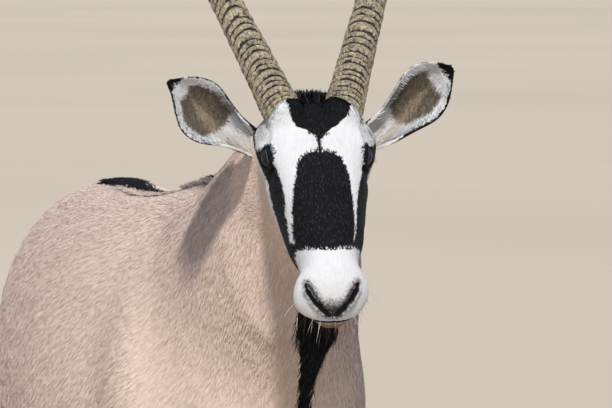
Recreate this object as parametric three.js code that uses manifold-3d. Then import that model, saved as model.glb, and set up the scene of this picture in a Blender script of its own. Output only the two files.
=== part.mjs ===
// A life-size standing gemsbok, in millimetres, with +X ahead of the animal, +Y to its left and +Z up.
import * as THREE from "three";
import { mergeVertices } from "three/addons/utils/BufferGeometryUtils.js";
import Module from "manifold-3d";

const wasm = await Module();
wasm.setup();

// Driving dimensions of the animal
const WITHERS_HEIGHT = 1215;
const BELLY_HEIGHT = 600;
const BARREL_HALF_WIDTH = 230;
const LEG_CUT_HEIGHT = 590;
const GAP = 0.3;
const LEFT = 1;
const RIGHT = -1;

// Where the head is held: the point midway between the eyes, its heading from +X, its dip below level
const EYES_MIDDLE = new THREE.Vector3(1010, 73, 1277);
const HEAD_HEADING = THREE.MathUtils.degToRad(-3.5);
const HEAD_ROLL = THREE.MathUtils.degToRad(1);
const FACE_DIP = THREE.MathUtils.degToRad(42.5);

// The spine bends to the left ahead of this place, ever more towards the breast
const BEND_START = -100;
const BEND = 1.87e-4;
const spineOffset = (x) => BEND * Math.max(0, x - BEND_START) ** 2;

const EYE_RADIUS = 20;
const EYE_PLACE = { along: 0, out: 59, above: -33 };

const HORN_LENGTH = 840;
const HORN_BASE_RADIUS = 26.5;
const HORN_TIP_RADIUS = 3.2;
const HORN_SPREAD = THREE.MathUtils.degToRad(16);

const EAR_LENGTH = { left: 181, right: 166 };
const EAR_THICKNESS = 6;

const SOLE_HALF_LENGTH = 48;
const CLAW_HALF_WIDTH = 19;
const CORONET_HEIGHT = 58;

// A smooth value between two rows of a table of numbers, the column's neighbours deciding its slope
function smoothRow(rows, place) {
  const start = Math.min(Math.floor(place), rows.length - 2);
  const t = place - start;
  const row = (index) => rows[Math.max(0, Math.min(rows.length - 1, index))];
  const [a, b, c, d] = [row(start - 1), row(start), row(start + 1), row(start + 2)];
  return b.map((value, i) => {
    const slope = (c[i] - a[i]) * t;
    const bend = (2 * a[i] - 5 * value + 4 * c[i] - d[i]) * t * t;
    const cubic = (3 * value - a[i] - 3 * c[i] + d[i]) * t * t * t;
    return 0.5 * (2 * value + slope + bend + cubic);
  });
}

// A closed shell over a row of rings of equal count, with a fan to the middle of each end ring
function shell(rings) {
  const count = rings[0].length;
  const positions = rings.flat().flatMap((p) => [p.x, p.y, p.z]);
  for (const end of [rings[0], rings.at(-1)]) {
    const middle = end.reduce((sum, p) => sum.add(p), new THREE.Vector3()).divideScalar(count);
    positions.push(middle.x, middle.y, middle.z);
  }
  const firstMiddle = rings.length * count;
  const faces = [];
  for (let ring = 0; ring < rings.length - 1; ring++) {
    for (let i = 0; i < count; i++) {
      const j = (i + 1) % count;
      const [a, b] = [ring * count + i, ring * count + j];
      faces.push(a, b, b + count, a, b + count, a + count);
    }
  }
  const last = (rings.length - 1) * count;
  for (let i = 0; i < count; i++) {
    const j = (i + 1) % count;
    faces.push(firstMiddle, j, i, firstMiddle + 1, last + i, last + j);
  }
  return facingOut(positions, faces);
}

// Turns every face over when the shell came out inside out
function facingOut(positions, faces) {
  const point = (i) => new THREE.Vector3().fromArray(positions, 3 * i);
  let volume = 0;
  for (let f = 0; f < faces.length; f += 3) {
    volume += point(faces[f]).dot(point(faces[f + 1]).cross(point(faces[f + 2])));
  }
  const geometry = new THREE.BufferGeometry();
  geometry.setAttribute("position", new THREE.Float32BufferAttribute(positions, 3));
  geometry.setIndex(volume < 0 ? faces.toReversed() : faces);
  return geometry;
}

function solid(geometry) {
  const plain = geometry.clone();
  plain.deleteAttribute("normal");
  plain.deleteAttribute("uv");
  const merged = mergeVertices(plain, 1e-4);
  const mesh = new wasm.Mesh({
    numProp: 3,
    vertProperties: Float32Array.from(merged.attributes.position.array),
    triVerts: Uint32Array.from(merged.index.array),
  });
  return new wasm.Manifold(mesh);
}

// All that lies ahead of a plane, out to well past the animal
function ahead(point, normal, shift = 0) {
  const size = 6000;
  const direction = new THREE.Vector3(...normal).normalize();
  const box = new THREE.BoxGeometry(size, size, size);
  box.translate(0, 0, size / 2 + shift);
  box.applyQuaternion(new THREE.Quaternion().setFromUnitVectors(new THREE.Vector3(0, 0, 1), direction));
  box.translate(...point);
  return solid(box);
}

// The two sides of a plane, with the gap between them
function part(body, point, normal) {
  const back = normal.map((value) => -value);
  return [body.intersect(ahead(point, normal, GAP / 2)), body.intersect(ahead(point, back, GAP / 2))];
}

// A ring of an egg-like outline: its half width, its heights over and under the widest level, its squareness
function eggRing(middle, side, up, halfWidth, over, under, square, sides) {
  return Array.from({ length: sides }, (_, i) => {
    const angle = (2 * Math.PI * i) / sides;
    const [c, s] = [Math.cos(angle), Math.sin(angle)];
    const across = halfWidth * Math.sign(c) * Math.abs(c) ** (2 / square);
    const height = (s > 0 ? over : under) * Math.sign(s) * Math.abs(s) ** (2 / square);
    return middle.clone().addScaledVector(side, across).addScaledVector(up, height);
  });
}

// Rows hold x, y, z, half width, reach towards up, reach away from it, and squareness
function eggLoft(rows, side, up, sides, ringsPerRow) {
  const steps = (rows.length - 1) * ringsPerRow;
  const rings = [];
  for (let step = 0; step <= steps; step++) {
    const [x, y, z, width, over, under, square] = smoothRow(rows, step / ringsPerRow);
    rings.push(eggRing(new THREE.Vector3(x, y, z), side, up, width, over, under, square, sides));
  }
  return shell(rings);
}

// The same along a bent line, each ring square to the line
function bentLoft(rows, sides, ringsPerRow, upHint) {
  const steps = (rows.length - 1) * ringsPerRow;
  const middleAt = (step) => new THREE.Vector3(...smoothRow(rows, step / ringsPerRow));
  const rings = [];
  for (let step = 0; step <= steps; step++) {
    const [x, y, z, width, over, under, square] = smoothRow(rows, step / ringsPerRow);
    const before = middleAt(Math.max(0, step - 0.5));
    const after = middleAt(Math.min(steps, step + 0.5));
    const along = after.sub(before).normalize();
    const side = new THREE.Vector3().crossVectors(upHint, along).normalize();
    const up = new THREE.Vector3().crossVectors(along, side);
    rings.push(eggRing(new THREE.Vector3(x, y, z), side, up, width, over, under, square, sides));
  }
  return shell(rings);
}

const AHEAD = new THREE.Vector3(1, 0, 0);
const SIDEWAYS = new THREE.Vector3(0, 1, 0);
const UPWARD = new THREE.Vector3(0, 0, 1);

// The trunk from the buttocks to the breast, in upright slices
function trunkShell() {
  const widest = 860;
  const slice = (x, top, bottom, width, square) =>
    [x, spineOffset(x), widest, width, top - widest, widest - bottom, square];
  const rows = [
    slice(-716, 950, 800, 34, 2),
    slice(-700, 1040, 745, 92, 2.1),
    slice(-640, 1108, 700, 148, 2.2),
    slice(-545, 1156, 678, 196, 2.2),
    slice(-410, 1180, 664, 213, 2.2),
    slice(-260, 1176, 642, 222, 2.2),
    slice(-95, 1170, 612, 228, 2.2),
    slice(80, 1172, BELLY_HEIGHT, BARREL_HALF_WIDTH, 2.2),
    slice(240, 1190, 605, 208, 2.1),
    slice(370, WITHERS_HEIGHT, 620, 176, 1.95),
    slice(490, 1185, 640, 164, 1.95),
    slice(585, 1110, 672, 148, 2.1),
    slice(645, 1010, 715, 116, 2.1),
    slice(678, 930, 785, 56, 2),
  ];
  return eggLoft(rows, SIDEWAYS, UPWARD, 24, 1);
}

// The neck from inside the chest to the back of the head
function neckShell() {
  const rows = [
    [400, 40, 985, 132, 195, 235, 2],
    [500, 56, 1015, 138, 192, 235, 2],
    [600, 68, 1070, 134, 176, 222, 2.05],
    [700, 72, 1135, 122, 150, 190, 2.1],
    [790, 70, 1205, 100, 118, 146, 2.1],
    [862, 72, 1270, 78, 84, 114, 2.1],
    [890, 74, 1292, 62, 56, 84, 2.1],
  ];
  const leaning = new THREE.Vector3(0, -0.2, 1);
  return bentLoft(rows, 20, 1, leaning);
}

// A limb from the shoulder or hip to inside the hoof, in level slices
function limbShell(rows, side, stagger) {
  const startOfStagger = 700;
  const placed = rows.map(([x, y, z, width, front, rear, square = 2]) => {
    const share = Math.min(1, Math.max(0, (startOfStagger - z) / startOfStagger));
    return [x + stagger * share, spineOffset(rows[0][0]) + side * y, z, width, front, rear, square];
  });
  return eggLoft(placed, SIDEWAYS, AHEAD, 14, 1);
}

const FRONT_LIMB = [
  [345, 30, 1180, 20, 30, 50],
  [358, 62, 1120, 50, 60, 90],
  [380, 100, 1010, 68, 88, 122],
  [408, 122, 900, 73, 104, 136],
  [424, 130, 800, 68, 98, 128],
  [428, 130, 710, 54, 74, 96],
  [428, 126, 630, 44, 54, 66],
  [430, 124, 545, 37, 42, 46],
  [433, 121, 465, 31, 33, 34],
  [437, 120, 405, 33, 37, 30],
  [436, 119, 360, 28, 29, 28],
  [434, 118, 300, 21.5, 21, 23],
  [432, 118, 205, 20.5, 20, 22],
  [434, 118, 152, 27, 26, 31],
  [448, 118, 105, 24.5, 23, 23],
  [466, 118, 66, 28, 30, 26],
  [476, 118, 30, 31, 34, 30],
];

const HIND_LIMB = [
  [-470, 40, 1110, 26, 60, 70],
  [-492, 88, 1040, 70, 140, 140],
  [-505, 114, 930, 84, 182, 165],
  [-492, 126, 830, 79, 180, 156],
  [-482, 133, 745, 64, 145, 128],
  [-505, 130, 660, 50, 92, 88],
  [-548, 124, 580, 39, 56, 54],
  [-590, 119, 505, 32, 38, 48],
  [-604, 116, 450, 30.5, 34, 42],
  [-600, 115, 385, 24, 26, 29],
  [-590, 114, 250, 21.5, 22, 24],
  [-584, 114, 165, 28, 27, 33],
  [-566, 114, 112, 25, 23, 24],
  [-546, 114, 66, 28, 30, 27],
  [-536, 114, 30, 31, 34, 30],
];

// Each foot stands a little ahead of or behind the square stance
const LIMBS = [
  { name: "front_left", rows: FRONT_LIMB, side: LEFT, stagger: -45 },
  { name: "front_right", rows: FRONT_LIMB, side: RIGHT, stagger: 30 },
  { name: "hind_left", rows: HIND_LIMB, side: LEFT, stagger: 40 },
  { name: "hind_right", rows: HIND_LIMB, side: RIGHT, stagger: -35 },
];

// The tail's bare root, its long hair and the tips that hang to the hocks
function tailShell() {
  const rows = [
    [-660, 0, 1082, 27, 30, 30, 2],
    [-722, 0, 1062, 26, 27, 27, 2],
    [-757, 0, 1005, 24, 23, 23, 2],
    [-770, 0, 930, 25, 24, 24, 2],
    [-776, 0, 845, 31, 29, 29, 2],
    [-778, 0, 750, 41, 37, 35, 2],
    [-776, 0, 640, 46, 40, 38, 2],
    [-772, 0, 530, 36, 30, 28, 2],
    [-768, 0, 455, 20, 16, 16, 2],
    [-766, 0, 420, 6, 5, 5, 2],
  ];
  return bentLoft(rows, 14, 2, AHEAD);
}

// The head's own frame: x along the face towards the nose, y to its left, z out of the face
const headFrame = new THREE.Matrix4()
  .makeTranslation(EYES_MIDDLE)
  .multiply(new THREE.Matrix4().makeRotationZ(HEAD_HEADING))
  .multiply(new THREE.Matrix4().makeRotationX(HEAD_ROLL))
  .multiply(new THREE.Matrix4().makeRotationY(FACE_DIP));
const inHead = (x, y, z) => new THREE.Vector3(x, y, z).applyMatrix4(headFrame);
const headDirection = (x, y, z) => new THREE.Vector3(x, y, z).transformDirection(headFrame);

// One slice of the head through the face, the brow or nasal edge, the cheek, the jaw and the underside
function headRing(x, face, edgeOut, edge, cheekOut, cheek, jawOut, jaw, underside, sides) {
  const half = [
    [edgeOut * 0.55, face - (face - edge) * 0.16],
    [edgeOut, edge],
    [cheekOut, cheek],
    [jawOut, jaw],
    [jawOut * 0.5, underside + (jaw - underside) * 0.12],
  ];
  const outline = [
    [0, face],
    ...half,
    [0, underside],
    ...half.toReversed().map(([y, z]) => [-y, z]),
  ].map(([y, z]) => new THREE.Vector3(x, y, z));
  const curve = new THREE.CatmullRomCurve3(outline, true, "centripetal");
  return Array.from({ length: sides }, (_, i) => curve.getPoint(i / sides));
}

function headShell() {
  // Columns: along, face, brow or nasal edge out and level, cheek out and level, jaw out and level, underside
  const rows = [
    [-150, -40, 34, -47, 62, -95, 46, -150, -172],
    [-112, -14, 47, -22, 73, -72, 53, -160, -188],
    [-78, -1, 62, -9, 81, -46, 57, -164, -193],
    [-48, 4, 71, -8, 87, -27, 58, -161, -191],
    [-18, 4, 67, -7, 85, -31, 57, -155, -186],
    [14, 3, 57, -6, 76, -44, 54, -144, -175],
    [52, 1, 48, -6, 68, -52, 49, -129, -158],
    [100, -1, 41, -8, 61, -56, 43, -114, -141],
    [150, -3, 35, -9, 54, -56, 37, -103, -127],
    [196, -5, 31, -12, 48, -53, 34, -96, -117],
    [226, -10, 33, -18, 54, -54, 38, -94, -113],
    [250, -20, 34, -28, 57, -58, 41, -94, -118],
    [270, -36, 28, -43, 45, -66, 34, -93, -107],
    [284, -54, 15, -59, 26, -74, 22, -92, -106],
  ];
  const sides = 26;
  const ringsPerRow = 1;
  const rings = [];
  for (let step = 0; step <= (rows.length - 1) * ringsPerRow; step++) {
    rings.push(headRing(...smoothRow(rows, step / ringsPerRow), sides));
  }
  return shell(rings).applyMatrix4(headFrame);
}

// A horn's middle at a share of its length: nearly straight, bowed a little backward
const HORN_ROOT = { along: -92, out: 49, above: -14 };
const HORN_SUNK = 30;
const HORN_RISE = THREE.MathUtils.degToRad(-2);
const HORN_BOW = 26;

function hornMiddle(side, share) {
  const reach = share * HORN_LENGTH - HORN_SUNK;
  const back = Math.cos(HORN_SPREAD) * Math.cos(HORN_RISE);
  const direction = new THREE.Vector3(-back, side * Math.sin(HORN_SPREAD), Math.sin(HORN_RISE));
  const bow = HORN_BOW * Math.sin(Math.PI * share);
  const root = new THREE.Vector3(HORN_ROOT.along, side * HORN_ROOT.out, HORN_ROOT.above);
  return root.addScaledVector(direction.normalize(), reach).add(new THREE.Vector3(0, 0, bow));
}

function hornShell(side) {
  const rings = [];
  const steps = 18;
  for (let step = 0; step <= steps; step++) {
    const share = step / steps;
    const radius = HORN_TIP_RADIUS + (HORN_BASE_RADIUS - HORN_TIP_RADIUS) * (1 - share) ** 0.86;
    const before = hornMiddle(side, share - 0.01);
    const along = hornMiddle(side, share + 0.01).sub(before).normalize();
    const across = new THREE.Vector3().crossVectors(along, new THREE.Vector3(0, 0, 1)).normalize();
    const out = new THREE.Vector3().crossVectors(across, along);
    rings.push(eggRing(hornMiddle(side, share), across, out, radius, radius, radius, 2, 12));
  }
  return shell(rings).applyMatrix4(headFrame);
}

// An ear is a leaf rolled to a tube at its root, open towards the animal's front
const EAR_ROOT = { along: -86, out: 62, above: -84 };
const EAR_LEAN = {
  [LEFT]: { out: 0.83, up: 0.53, back: 0.1 },
  [RIGHT]: { out: 0.775, up: 0.57, back: 0.27 },
};

// Half the ear's width and how far its middle lies below its axis, at ten even steps from root to tip
const EAR_ROWS = {
  [LEFT]: [[14, 14], [18, 14], [24, 12], [28, 11], [33, 8], [39, 5], [44, 2], [41, 0], [28, -4], [5, -6]],
  [RIGHT]: [[13, 16], [16, 15], [23, 15], [31, 18], [39, 20], [44, 18], [44, 15], [35, 11], [20, 8], [4, 12]],
};
const earRoll = (share) => THREE.MathUtils.lerp(2.35, 0.95, Math.min(1, share * 1.35) ** 0.8);

function earShell(side) {
  const heading = new THREE.Vector3(Math.cos(HEAD_HEADING), Math.sin(HEAD_HEADING), 0);
  const outward = new THREE.Vector3(-heading.y, heading.x, 0).multiplyScalar(side);
  const axis = new THREE.Vector3()
    .addScaledVector(outward, EAR_LEAN[side].out)
    .addScaledVector(UPWARD, EAR_LEAN[side].up)
    .addScaledVector(heading, -EAR_LEAN[side].back)
    .normalize();
  const open = heading.clone().addScaledVector(axis, -heading.dot(axis)).normalize();
  const across = new THREE.Vector3().crossVectors(axis, open);
  const root = inHead(EAR_ROOT.along, side * EAR_ROOT.out, EAR_ROOT.above);
  const length = side === LEFT ? EAR_LENGTH.left : EAR_LENGTH.right;
  const columns = 9;
  const steps = 13;
  const rings = [];
  for (let step = 0; step <= steps; step++) {
    const share = step / steps;
    const roll = earRoll(share);
    const [halfWidth, lower] = smoothRow(EAR_ROWS[side], share * 9);
    const radius = halfWidth / Math.sin(Math.min(roll, Math.PI / 2));
    const wall = EAR_THICKNESS * (1 - 0.45 * share);
    const middle = root.clone()
      .addScaledVector(axis, share * length)
      .addScaledVector(across, side * lower);
    const at = (angle, r) => middle.clone()
      .addScaledVector(across, r * Math.sin(angle))
      .addScaledVector(open, -r * Math.cos(angle) + radius * 0.45);
    const outer = Array.from({ length: columns + 1 }, (_, i) => at(roll * ((2 * i) / columns - 1), radius));
    const innerRadius = Math.max(radius - wall, radius * 0.45);
    const inner = Array.from({ length: columns + 1 }, (_, i) => at(roll * (1 - (2 * i) / columns), innerRadius));
    rings.push([...outer, ...inner]);
  }
  return { geometry: shell(rings), root, axis };
}

// One claw of a cloven hoof: a flat sole, a sloping front wall and a low heel
function clawShell(x, y, outward) {
  const levels = 2;
  const rings = [];
  for (let level = 0; level <= levels; level++) {
    const share = level / levels;
    const height = share * (CORONET_HEIGHT + 22);
    const front = THREE.MathUtils.lerp(SOLE_HALF_LENGTH + 12, 22, share);
    const rear = THREE.MathUtils.lerp(SOLE_HALF_LENGTH - 14, 26, share);
    const halfWidth = THREE.MathUtils.lerp(CLAW_HALF_WIDTH, 13.5, share);
    const offset = THREE.MathUtils.lerp(CLAW_HALF_WIDTH + 1.5, 15, share);
    const middle = new THREE.Vector3(x, y + outward * offset, height);
    rings.push(eggRing(middle, SIDEWAYS, AHEAD, halfWidth, front, rear, 2.3, 12));
  }
  return shell(rings);
}

function dewclawShell(x, y, z) {
  const rings = [0, 0.6, 1].map((share) => {
    const middle = new THREE.Vector3(x - 20 * share, y, z - 12 * share);
    const radius = 10 * Math.sqrt(1.04 - share * share);
    return eggRing(middle, SIDEWAYS, UPWARD, radius * 0.9, radius, radius, 2, 6);
  });
  return shell(rings);
}

// The flesh is shaped as one body and then parted
let flesh = solid(trunkShell()).add(solid(neckShell())).add(solid(tailShell()));
for (const { rows, side, stagger } of LIMBS) {
  flesh = flesh.add(solid(limbShell(rows, side, stagger)));
}

const pieces = new Map();

// Each ear parts from the head a little way out from its root
const EAR_CUT = 42;
let headFlesh = solid(headShell());
for (const side of [LEFT, RIGHT]) {
  const { geometry, root, axis } = earShell(side);
  const cut = root.addScaledVector(axis, EAR_CUT).toArray();
  const [ear, earRoot] = part(solid(geometry), cut, axis.toArray());
  pieces.set(side === LEFT ? "ear_left" : "ear_right", ear);
  headFlesh = headFlesh.add(earRoot);
}
flesh = flesh.add(headFlesh);

// The head parts from the neck behind the poll and the angle of the jaw
const headCut = inHead(-118, 0, -110).toArray();
const headCutNormal = headDirection(0.8, 0, 0.6).toArray();
let [head, rest] = part(flesh, headCut, headCutNormal);

// The neck parts from the trunk ahead of the withers and over the breast
const [neck, body] = part(rest, [560, 80, 1020], [0.78, 0.1, 0.62]);
pieces.set("neck", neck);

const [tail, bodyWithoutTail] = part(body, [-724, 0, 1062], [-1, 0, 0]);
pieces.set("tail", tail);

const [trunk, limbs] = part(bodyWithoutTail, [0, 0, LEG_CUT_HEIGHT], [0, 0, 1]);
pieces.set("trunk", trunk);

for (const { name, rows, side, stagger } of LIMBS) {
  const isFront = rows === FRONT_LIMB;
  const limb = limbs
    .intersect(ahead([0, 0, 0], [isFront ? 1 : -1, 0, 0]))
    .intersect(ahead([0, spineOffset(rows[0][0]), 0], [0, side, 0]));
  const foot = rows.at(-1);
  const [footX, footY] = [foot[0] + stagger, spineOffset(rows[0][0]) + side * foot[1]];
  const coronet = [footX, footY, CORONET_HEIGHT - 4];
  const coronetSlope = [-0.22, 0, 1];
  const [leg] = part(limb, coronet, coronetSlope);
  pieces.set(`leg_${name}`, leg);
  for (const outward of [LEFT, RIGHT]) {
    const place = outward === side ? "outer" : "inner";
    const claw = part(solid(clawShell(footX - 4, footY, outward)), coronet, coronetSlope)[1];
    pieces.set(`hoof_${name}_${place}`, claw);
    const fetlock = smoothRow(rows, rows.length - 3.6);
    const dewclaw = solid(dewclawShell(fetlock[0] + stagger * 0.8 - 24, footY + outward * 14, 138));
    const clear = new THREE.Matrix4().makeTranslation(GAP, 0, 0).elements;
    const legAndGap = leg.transform(clear).add(leg);
    pieces.set(`dewclaw_${name}_${place}`, dewclaw.subtract(leg).subtract(legAndGap));
  }
}

for (const side of [LEFT, RIGHT]) {
  const word = side === LEFT ? "left" : "right";
  const middle = inHead(EYE_PLACE.along, side * EYE_PLACE.out, EYE_PLACE.above);
  const ball = (radius) => new THREE.SphereGeometry(radius, 12, 8).translate(middle.x, middle.y, middle.z);
  pieces.set(`eye_${word}`, solid(ball(EYE_RADIUS)));
  head = head.subtract(solid(ball(EYE_RADIUS + 2 * GAP)));
  const lift = headDirection(-GAP, 0, 0);
  const horn = solid(hornShell(side)).subtract(head);
  pieces.set(`horn_${word}`, horn.transform(new THREE.Matrix4().makeTranslation(lift).elements));
}
pieces.set("head", head);

const COAT = new THREE.MeshStandardMaterial({ color: 0xc8a890, roughness: 0.85, metalness: 0 });
const WHITE_COAT = new THREE.MeshStandardMaterial({ color: 0xe8e4dd, roughness: 0.85, metalness: 0 });
const BLACK_HAIR = new THREE.MeshStandardMaterial({ color: 0x16130f, roughness: 0.8, metalness: 0 });
const HORN = new THREE.MeshStandardMaterial({ color: 0x6b5f4e, roughness: 0.6, metalness: 0 });
const HOOF = new THREE.MeshStandardMaterial({ color: 0x2a2622, roughness: 0.5, metalness: 0 });
const EYE = new THREE.MeshStandardMaterial({ color: 0x140b06, roughness: 0.05, metalness: 0 });

function materialOf(name) {
  if (name.startsWith("horn")) return HORN;
  if (name.startsWith("hoof") || name.startsWith("dewclaw")) return HOOF;
  if (name.startsWith("eye")) return EYE;
  if (name === "tail") return BLACK_HAIR;
  if (name === "head" || name.startsWith("ear") || name.startsWith("leg")) return WHITE_COAT;
  return COAT;
}

const gemsbok = new THREE.Group();
for (const [name, piece] of pieces) {
  const { vertProperties, triVerts } = piece.getMesh();
  const geometry = new THREE.BufferGeometry();
  geometry.setAttribute("position", new THREE.Float32BufferAttribute(vertProperties, 3));
  geometry.setIndex(new THREE.Uint32BufferAttribute(triVerts, 1));
  geometry.computeVertexNormals();
  const mesh = new THREE.Mesh(geometry, materialOf(name));
  mesh.name = name;
  gemsbok.add(mesh);
}

// The origin is on the floor under the middle of the animal's box
const box = new THREE.Box3().setFromObject(gemsbok);
gemsbok.position.set(-(box.min.x + box.max.x) / 2, -(box.min.y + box.max.y) / 2, -box.min.z);

export default gemsbok;
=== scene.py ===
import bpy
import math
import numpy as np
from mathutils import Matrix, Vector


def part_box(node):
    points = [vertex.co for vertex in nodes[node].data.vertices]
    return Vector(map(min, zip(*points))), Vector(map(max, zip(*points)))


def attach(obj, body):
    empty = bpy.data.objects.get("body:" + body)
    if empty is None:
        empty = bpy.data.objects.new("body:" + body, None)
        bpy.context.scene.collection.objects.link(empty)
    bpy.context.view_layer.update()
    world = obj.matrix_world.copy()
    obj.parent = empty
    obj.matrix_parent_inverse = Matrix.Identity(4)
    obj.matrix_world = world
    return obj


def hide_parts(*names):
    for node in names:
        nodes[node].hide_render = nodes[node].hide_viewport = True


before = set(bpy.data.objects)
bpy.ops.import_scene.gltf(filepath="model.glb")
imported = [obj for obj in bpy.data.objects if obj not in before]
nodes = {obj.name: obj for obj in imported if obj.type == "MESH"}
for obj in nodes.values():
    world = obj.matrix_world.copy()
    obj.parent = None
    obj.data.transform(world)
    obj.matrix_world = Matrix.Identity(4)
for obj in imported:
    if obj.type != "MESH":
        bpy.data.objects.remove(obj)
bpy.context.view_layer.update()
bpy.ops.object.select_all(action="DESELECT")

# The head's own axes: x runs along the face to the nose, y to the animal's left, z out of the face.
# Their origin lies between the eyes, 33 mm in front of the line that joins them, in the face's plane.
head_turn = (
    Matrix.Rotation(math.radians(-3.5), 3, "Z")
    @ Matrix.Rotation(math.radians(1), 3, "X")
    @ Matrix.Rotation(math.radians(42.5), 3, "Y")
)
eye_centre = {}
for side in ("left", "right"):
    low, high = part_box("eye_" + side)
    eye_centre[side] = (low + high) / 2
head_place = (eye_centre["left"] + eye_centre["right"]) / 2 + head_turn @ Vector((0, 0, 0.033))
turn = np.array(head_turn)
place = np.array(head_place)

# The camera stands level with the brow, 9.6 m ahead and a little to the animal's left, with a long lens.
# It looks at a point just below and behind the eyes, which brings the horns' tips out of the frame.
aim = head_place + Vector((-0.003, -0.017, -0.089))
azimuth = math.radians(80)
elevation = math.radians(2.5)
camera_distance = 9.6
back = Vector((
    math.sin(azimuth) * math.cos(elevation),
    -math.cos(azimuth) * math.cos(elevation),
    math.sin(elevation),
))
bpy.ops.object.camera_add(
    location=aim + back * camera_distance,
    rotation=back.to_track_quat("Z", "Y").to_euler(),
)
camera = bpy.context.object
camera.name = "camera"
camera.data.lens = 400
camera.data.sensor_width = 36
camera.data.clip_end = 1000
bpy.context.scene.camera = camera

# The hide is one skin over head, neck, trunk, legs and tail, joined from the solids and made smooth.
# It lies inside them by the depth of the coat, and takes in the ears, which are made on their own below.
flesh = ["trunk", "neck", "head", "tail"]
flesh += ["leg_front_left", "leg_front_right", "leg_hind_left", "leg_hind_right"]
voxel = 0.0108
lid_form_radius = 0.0206


def select_only(*things):
    bpy.ops.object.select_all(action="DESELECT")
    for thing in things:
        thing.select_set(True)
    bpy.context.view_layer.objects.active = things[0]


def merge_doubles(distance=0.00001):
    bpy.ops.object.mode_set(mode="EDIT")
    bpy.ops.mesh.select_all(action="SELECT")
    bpy.ops.mesh.remove_doubles(threshold=distance)
    bpy.ops.object.mode_set(mode="OBJECT")


def finish_with(thing, kind, **settings):
    """Adds one modifier to the active object and applies it."""
    bpy.ops.object.modifier_add(type=kind)
    for key, value in settings.items():
        setattr(thing.modifiers[-1], key, value)
    bpy.ops.object.modifier_apply(modifier=thing.modifiers[-1].name)


def freed(thing):
    """The copy of a node, parted from the frame."""
    thing.parent = None
    for key in list(thing.keys()):
        if key.startswith("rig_"):
            del thing[key]
    return thing


def copy_of(name):
    select_only(nodes[name])
    bpy.ops.object.duplicate()
    return freed(bpy.context.object)


def read(mesh):
    co = np.empty(len(mesh.vertices) * 3)
    mesh.vertices.foreach_get("co", co)
    return co.reshape(-1, 3)


def write(mesh, co):
    mesh.vertices.foreach_set("co", co.ravel())
    mesh.update()


def to_head(points):
    return (points - place) @ turn * 1000


def from_head(points):
    return np.asarray(points, float) / 1000 @ turn.T + place


def step(low, high, values):
    """Nought below low and one above high, smooth between; high may be the lesser."""
    share = np.clip((values - low) / (high - low), 0, 1)
    return share * share * (3 - 2 * share)


def unit(ways):
    return ways / np.maximum(np.linalg.norm(ways, axis=-1, keepdims=True), 1e-9)


select_only(*[nodes[name] for name in flesh])
bpy.ops.object.duplicate()
copies = [freed(copied) for copied in bpy.context.selected_objects]
for side in ("left", "right"):
    bpy.ops.mesh.primitive_uv_sphere_add(
        segments=24, ring_count=16, radius=lid_form_radius, location=eye_centre[side])
    copies.append(bpy.context.object)
select_only(*copies)
bpy.ops.object.join()
skin = bpy.context.object
skin.name = "skin"
merge_doubles()
finish_with(skin, "REMESH", mode="VOXEL", voxel_size=voxel)


def relax(mesh, weight, rounds):
    """Draws each vertex to the middle of its neighbours, by its weight, again and again."""
    co = read(mesh)
    pairs = np.empty(len(mesh.edges) * 2, np.int32)
    mesh.edges.foreach_get("vertices", pairs)
    pairs = pairs.reshape(-1, 2)
    count = np.bincount(pairs.ravel(), minlength=len(co))[:, None]
    share = weight[:, None]
    for turn_number in range(rounds):
        total = np.stack([
            np.bincount(pairs[:, 0], co[pairs[:, 1], axis], len(co))
            + np.bincount(pairs[:, 1], co[pairs[:, 0], axis], len(co))
            for axis in range(3)
        ], 1)
        co += share * (total / np.maximum(count, 1) - co)
    write(mesh, co)


co = read(skin.data)
local = to_head(co)
on_head = (local[:, 0] > -150) & (local[:, 2] > -190) & (co[:, 0] > 0.62)
on_leg = step(0.70, 0.56, co[:, 2])
on_tail = step(-0.88, -0.95, co[:, 0])
weight = 0.6 * (1 - 0.93 * np.maximum(on_leg, on_tail))
throat = np.maximum(step(-50, -130, local[:, 0]), step(-105, -165, local[:, 2]) * step(110, 30, local[:, 0]))
weight[on_head] = 0.6 * (0.1 + 0.9 * throat[on_head])
relax(skin.data, weight, 70)


def normals(mesh):
    found = np.empty(len(mesh.vertices) * 3, np.float32)
    mesh.vertex_normals.foreach_get("vector", found)
    return found.reshape(-1, 3).astype(float)


def split_faces(thing, wanted):
    """Splits each face whose centre is wanted, so that the face and eyes have smaller ones."""
    mesh = thing.data
    centres = np.empty(len(mesh.polygons) * 3)
    mesh.polygons.foreach_get("center", centres)
    select_only(thing)
    bpy.context.tool_settings.mesh_select_mode = (False, False, True)
    bpy.ops.object.mode_set(mode="EDIT")
    bpy.ops.mesh.select_all(action="DESELECT")
    bpy.ops.object.mode_set(mode="OBJECT")
    mesh.polygons.foreach_set("select", wanted(centres.reshape(-1, 3)))
    bpy.ops.object.mode_set(mode="EDIT")
    bpy.ops.mesh.subdivide(number_cuts=1)
    bpy.ops.object.mode_set(mode="OBJECT")


def face_region(points):
    near = to_head(points)
    return (near[:, 0] > -135) & (near[:, 2] > -175) & (points[:, 0] > 0.66)


def front_region(points):
    near = to_head(points)
    return face_region(points) & (near[:, 0] > -115) & (near[:, 2] > -118)


def fine_region(points):
    near = to_head(points)
    eyes = np.abs(np.abs(near[:, 1]) - 66) < 26
    eyes &= np.hypot(near[:, 0], near[:, 2] + 33) < 34
    return (eyes | (near[:, 0] > 232)) & (points[:, 0] > 0.66)


# The coat is 7 mm deep on the body, 2 mm on the legs and face, and up to 6 mm behind the ears.
depth = 0.007 * (1 - on_leg * 0.75)
near_face = to_head(read(skin.data))
depth[on_head] = 0.002 + 0.004 * step(-70, -150, near_face[on_head, 0])
write(skin.data, read(skin.data) - normals(skin.data) * depth[:, None])
for region, rounds in ((face_region, 4), (front_region, 4), (fine_region, 3)):
    split_faces(skin, region)
    relax(skin.data, 0.4 * face_region(read(skin.data)), rounds)


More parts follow.
